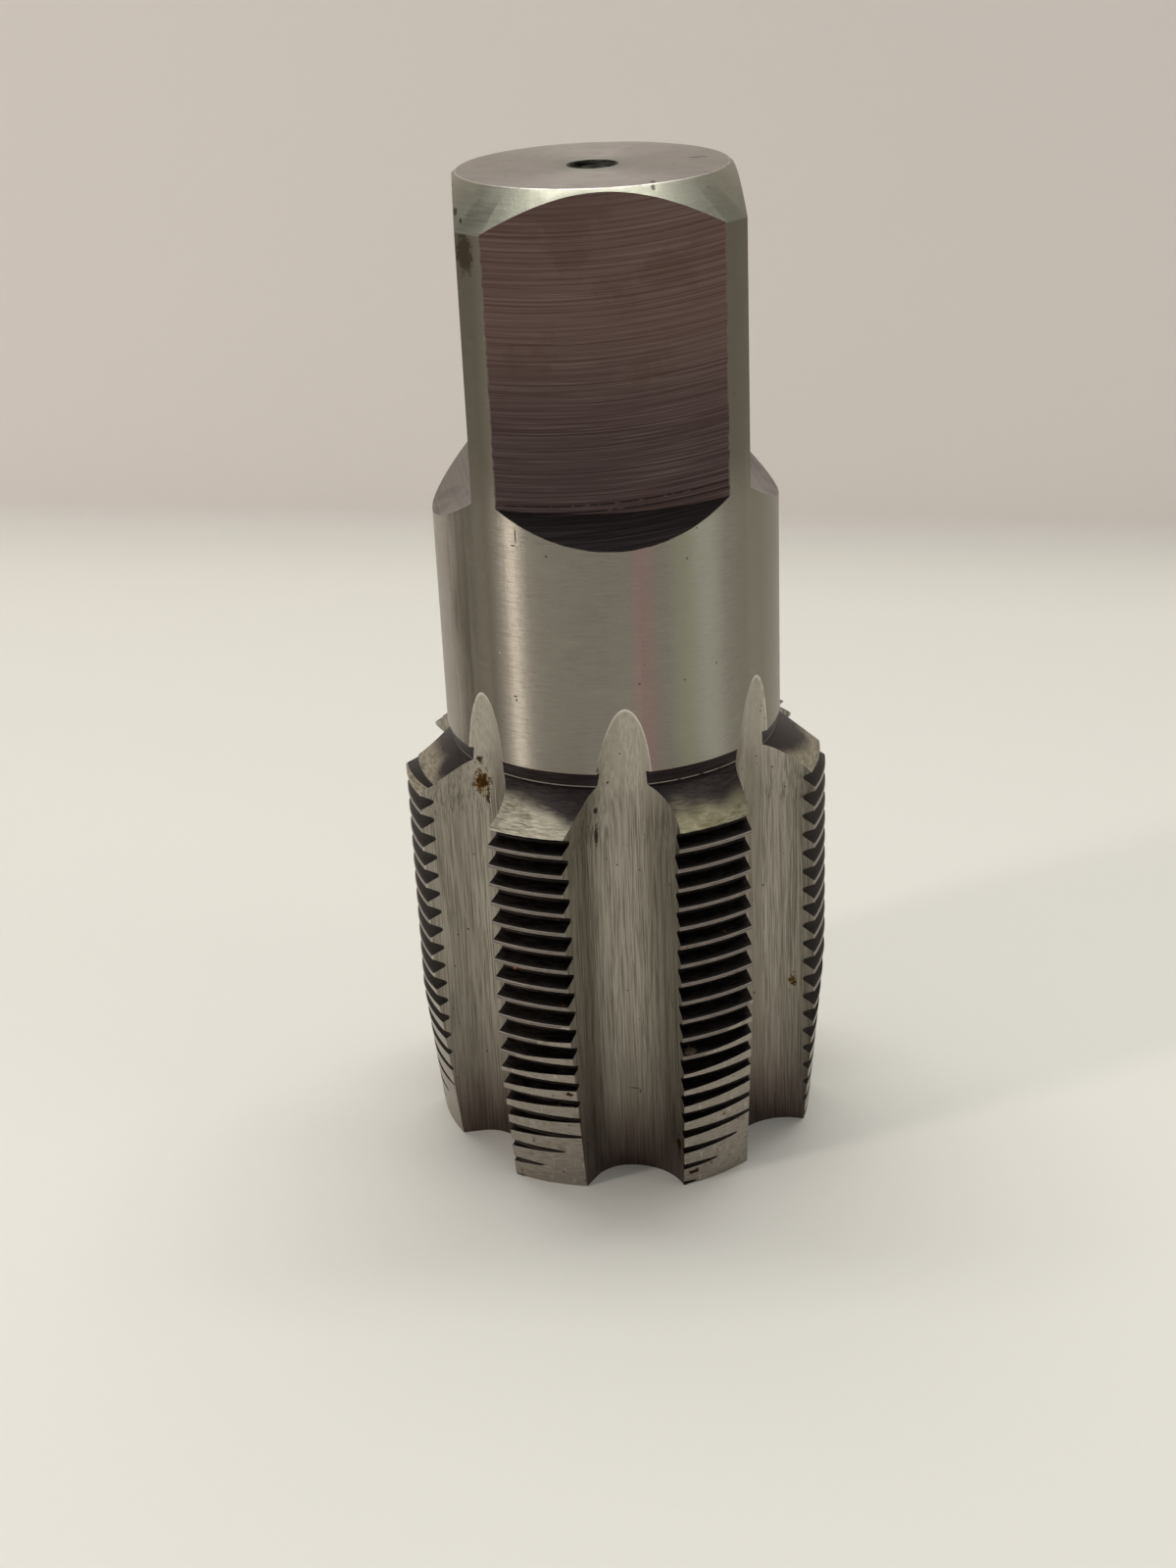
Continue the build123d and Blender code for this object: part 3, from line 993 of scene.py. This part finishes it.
crest_place, start, out = new_group("crest_place", {"Height": 0.0, "Turn": 0.0}, {"Edge": number})
climb = minus(crest_place, minus(crest_place, start["Height"], groove_start),
              times(crest_place, start["Turn"], thread_pitch / 360))
turns_up = calculate(crest_place, "FRACT", calculate(crest_place, "DIVIDE", climb, thread_pitch))
from_middle = times(crest_place, calculate(crest_place, "ABSOLUTE", minus(crest_place, turns_up, 0.5)),
                    thread_pitch)
set_input(crest_place, out["Edge"], minus(crest_place, from_middle, crest_width / 2))

# %% Finish: thread groove
dark, pale, grime = (0.010, 0.008, 0.007), (0.028, 0.023, 0.020), (0.030, 0.020, 0.012)
lit_and_rubbed, groove_glint, rust_dot = (0.090, 0.078, 0.068), (0.36, 0.33, 0.295), (0.14, 0.055, 0.018)
dried_oil, oil_spots = (0.16, 0.12, 0.085), [((5.7, -22.6, 18.1), (0.7, 0.9, 0.5))]

tree, place, _, radius, _ = begin(thread_groove)
strokes = stroke_noise(tree, place, (1.5, 1.5, 0.12))
# Painted shade: the near-black flanks, painted lighter towards the crests.
colour = lay_coats(
    tree, blend(tree, fade(tree, strokes, 0.35, 0.7), dark, pale),
    (cloud_mask(tree, place, 2.0, 0.3, 0.6), grime),
    (fade(tree, radius, 23.4, 23.85, 0.0, 0.3), lit_and_rubbed),
    (glint(tree, place, radius, thread_radius, 0.1, unbroken), groove_glint),
    (dot_mask(tree, place, 1.0, 0.04), rust_dot),
)
colour = marks(tree, place, colour, oil_spots, dried_oil, 0.8)
steel(thread_groove, colour, spread_out(tree, strokes, 0.30, 0.46), strokes, 0.008)

# %% Finish: thread crests
dark, pale = (0.120, 0.098, 0.090), (0.250, 0.215, 0.195)
crest_glint, rust_dot = (0.40, 0.37, 0.33), (0.16, 0.085, 0.045)

tree, place, height, _, turn = begin(thread_crest)
strokes = stroke_noise(tree, place, (0.9, 0.9, 0.07))
edge = use(tree, crest_place, Height=height, Turn=turn)["Edge"]
colour = lay_coats(
    tree, blend(tree, spread_out(tree, strokes), dark, pale),
    (glint(tree, place, edge, 0.0, 0.08, unbroken), crest_glint),
    (dot_mask(tree, place, 0.7, 0.12), rust_dot),
)
steel(thread_crest, colour, spread_out(tree, strokes, 0.28, 0.44), strokes, 0.006, stretched=0.4)

# %% [markdown]
# ## The lead, the foot and the centre holes
# The lead's lands were ground last, and they are the palest part of the thread, scuffed by standing and by
# use. Their rust comes as small dots. The foot is a plain turned face, and the centre holes are painted
# dark as painted shade inside them, and worn shiny where the lathe's centres ran.

# %% Finish: ground lead
dark, pale, scuff = (0.250, 0.218, 0.185), (0.400, 0.365, 0.320), (0.55, 0.51, 0.45)
rust_dot, handled, foot_glint = (0.150, 0.075, 0.035), (0.190, 0.150, 0.115), (0.60, 0.56, 0.50)
lead_rust = [
    ((4.6, -21.9, 4.6), (0.3, 0.6, 1.3)), ((5.9, -21.8, 1.7), (0.9, 0.6, 0.4)),
    ((-7.8, -21.7, 13.0), (0.6, 0.6, 0.3)), ((-14.0, 16.0, 6.0), (0.6, 0.6, 0.9)),
]

tree, place, height, _, _ = begin(ground_lead)
strokes = stroke_noise(tree, place, (1.0, 1.0, 0.09))
fine = spread_out(tree, strokes)
scuffs = stroke_noise(tree, place, (0.35, 0.35, 1.6))
colour = lay_coats(
    tree, blend(tree, fine, dark, pale),
    (fade(tree, scuffs, 0.6, 0.72), scuff),
    (dot_mask(tree, place, 0.8, 0.14), rust_dot),
    (cloud_mask(tree, place, 2.2, 0.35, 0.4), handled),
)
colour = marks(tree, place, colour, lead_rust, dark_rust, 0.8)
colour = blend(tree, glint(tree, place, height, 0.0, 0.16, 0.2), colour, foot_glint)
rough = spread_out(tree, strokes, 0.30, 0.44)
steel(ground_lead, colour, rough, plus(tree, fine, scuffs), 0.006, stretched=0.4)

# %% Finish: cut end and centre holes
rust_dot = (0.12, 0.065, 0.030)
# The centre hole's near-black is painted shade.
for finish, dull, bright in ((cut_end, (0.210, 0.190, 0.160), (0.370, 0.345, 0.300)),
                             (centre_hole, (0.008, 0.008, 0.007), (0.110, 0.110, 0.090))):
    tree, place, _, radius, _ = begin(finish)
    across, away, _ = split_vector(tree, place)
    rings = stroke_noise(tree, make_vector(tree, across, away, radius), (2.5, 2.5, 0.2))
    colour = blend(tree, fade(tree, rings, 0.4, 0.75), dull, bright)
    colour = blend(tree, dot_mask(tree, place, 0.9, 0.15), colour, rust_dot)
    steel(finish, colour, spread_out(tree, rings, 0.28, 0.44), rings, 0.01, stretched=0.3)

# %% [markdown]
# ## The stage
# A sheet of pale card runs under the tap and curves up behind it, as a photographer's sweep does. Its
# upright part is a little pinker than the part that lies flat, with the change hidden in the curve. The
# card can't be seen from behind or below, so that a camera on that side still sees the tap.

# %% Floor and backdrop
card_width, card_front, card_rise, card_turn = 3.0, -1.2, 0.32, radians(-13.4)
bend_radius, bend_start = 0.006, 0.201

bm = bmesh.new()
line = [bm.verts.new((-card_width / 2, y, 0)) for y in (card_front, bend_start)]
bm.edges.new(line)
bend = bmesh.ops.spin(bm, geom=[line[1]], cent=(-card_width / 2, bend_start, bend_radius), axis=(1, 0, 0),
                      dvec=(0, 0, 0), angle=pi / 2, steps=16, use_merge=False, use_duplicate=False)
bend_end = next(item for item in bend["geom_last"] if isinstance(item, bmesh.types.BMVert))
bm.edges.new((bend_end, bm.verts.new(bend_end.co + Vector((0, 0, card_rise)))))
widened = bmesh.ops.extrude_edge_only(bm, edges=bm.edges[:])["geom"]
far_side = [item for item in widened if isinstance(item, bmesh.types.BMVert)]
bmesh.ops.translate(bm, verts=far_side, vec=(card_width, 0, 0))
bmesh.ops.rotate(bm, verts=bm.verts, cent=(0, 0, 0), matrix=Matrix.Rotation(card_turn, 3, "Z"))
bmesh.ops.remove_doubles(bm, verts=bm.verts, dist=0.00001)
bmesh.ops.recalc_face_normals(bm, faces=bm.faces)
if sum(face.normal.z * face.calc_area() for face in bm.faces) < 0:
    bmesh.ops.reverse_faces(bm, faces=bm.faces)
for face in bm.faces:
    face.smooth = True
print("card:", len(bm.faces), "faces")

# %% The card's paper
flat_paper, upright_paper, fibre = (0.855, 0.840, 0.775), (0.895, 0.842, 0.806), (0.45, 0.42, 0.38)

card = new_finish("pale_card")
tree = card.node_tree
coordinates = tree.nodes.new("ShaderNodeTexCoord").outputs["Object"]
_, _, card_height = split_vector(tree, coordinates)
paper = lay_coats(
    tree, blend(tree, fade(tree, card_height, 0.0, bend_radius), flat_paper, upright_paper),
    (times(tree, noise(tree, coordinates, 900, 3.0), 0.03), fibre),
)
rays, sides = tree.nodes.new("ShaderNodeLightPath"), tree.nodes.new("ShaderNodeNewGeometry")
seen_from_behind = times(tree, rays.outputs["Is Camera Ray"], sides.outputs["Backfacing"])
shader = tree.nodes["Principled BSDF"].inputs
for name, value in (("Base Color", paper), ("Alpha", minus(tree, 1.0, seen_from_behind)),
                    ("Roughness", 0.9), ("Specular IOR Level", 0.2)):
    set_input(tree, shader[name], value)
floor = to_object(bm, "card_sweep", [card])
print("paper:", len(tree.nodes), "nodes")

# %% [markdown]
# ## The light
# A square soft box hangs high behind the tap and gives most of the light, so that the shadow falls softly
# towards the camera. A long strip lamp above it brightens the top chamfer. A narrow warm lamp on the left
# draws the shank's streak, and a wider, weaker one on the right its pale side. The grey world fills in
# between them, and the camera sees it brighter than the tap does, as a pale room.

# %% World and lamps
world_light, seen_brighter = 0.27, 0.35
lamp_aim = Vector((0, 0, 0.05))

world = bpy.data.worlds.new("studio")
bpy.context.scene.world = world
world.use_nodes = True
background = world.node_tree.nodes["Background"]
background.inputs["Color"].default_value = (1.0, 0.99, 0.98, 1)
rays = world.node_tree.nodes.new("ShaderNodeLightPath")
set_input(world.node_tree, background.inputs["Strength"], calculate(
    world.node_tree, "MULTIPLY_ADD", rays.outputs["Is Camera Ray"], seen_brighter, world_light))


def soft_light(name, azimuth, elevation, distance, size, power, colour):
    lamp = bpy.data.lights.new(name, "AREA")
    lamp.shape = "RECTANGLE"
    lamp.size, lamp.size_y = size
    lamp.energy = power
    lamp.color = colour
    light = bpy.data.objects.new(name, lamp)
    direction = front_point(cos(radians(elevation)), radians(azimuth), sin(radians(elevation)))
    light.location = lamp_aim + direction * distance
    light.rotation_euler = direction.to_track_quat("Z", "Y").to_euler()
    bpy.context.scene.collection.objects.link(light)
    print("lamp:", name, power, "W")


soft_light("strip_above", azimuth=176, elevation=78, distance=1.0, size=(0.80, 0.10), power=3.1,
           colour=(1.0, 1.0, 0.98))
soft_light("soft_box", azimuth=175, elevation=69, distance=1.3, size=(1.15, 1.15), power=7.1,
           colour=(1.0, 1.0, 0.99))
soft_light("left_lamp", azimuth=-68.3, elevation=22, distance=0.8, size=(0.085, 0.45), power=1.5,
           colour=(1.0, 0.905, 0.835))
soft_light("right_lamp", azimuth=64, elevation=22, distance=0.8, size=(0.27, 0.45), power=0.46,
           colour=(0.97, 1.0, 0.95))

# %% [markdown]
# ## The camera
# Its place and lens were fitted to the photo's edges together with the tap's sizes. It stands in front of
# the tap, turned about the axis by the first angle, and then it is pitched down, yawed and rolled a little.

# %% Camera
camera_turn = radians(-3.04)
camera_distance, camera_height = 0.23482, 0.14872
pitch, yaw, roll = radians(24.688), radians(-0.801), radians(-2.585)
focal_length, sensor_width = 68.73, 36

forward = Vector((sin(yaw) * cos(pitch), cos(yaw) * cos(pitch), -sin(pitch)))
level = Vector((cos(yaw), -sin(yaw), 0))
upward = level.cross(forward)
camera_right = level * cos(roll) + upward * sin(roll)
camera_up = upward * cos(roll) - level * sin(roll)
stand = Matrix.Rotation(camera_turn, 4, "Z")
aim = Matrix((camera_right, camera_up, -forward)).transposed().to_4x4()
lens = bpy.data.cameras.new("photographer")
lens.sensor_fit = "HORIZONTAL"
lens.sensor_width = sensor_width
lens.lens = focal_length
lens.clip_start, lens.clip_end = 0.01, 10
camera = bpy.data.objects.new("photographer", lens)
camera.matrix_world = stand @ Matrix.Translation((0, -camera_distance, camera_height)) @ aim
bpy.context.scene.collection.objects.link(camera)
bpy.context.scene.camera = camera
bpy.context.scene.view_settings.view_transform = "Standard"
print("camera in metres:", [round(side, 4) for side in camera.matrix_world.translation])
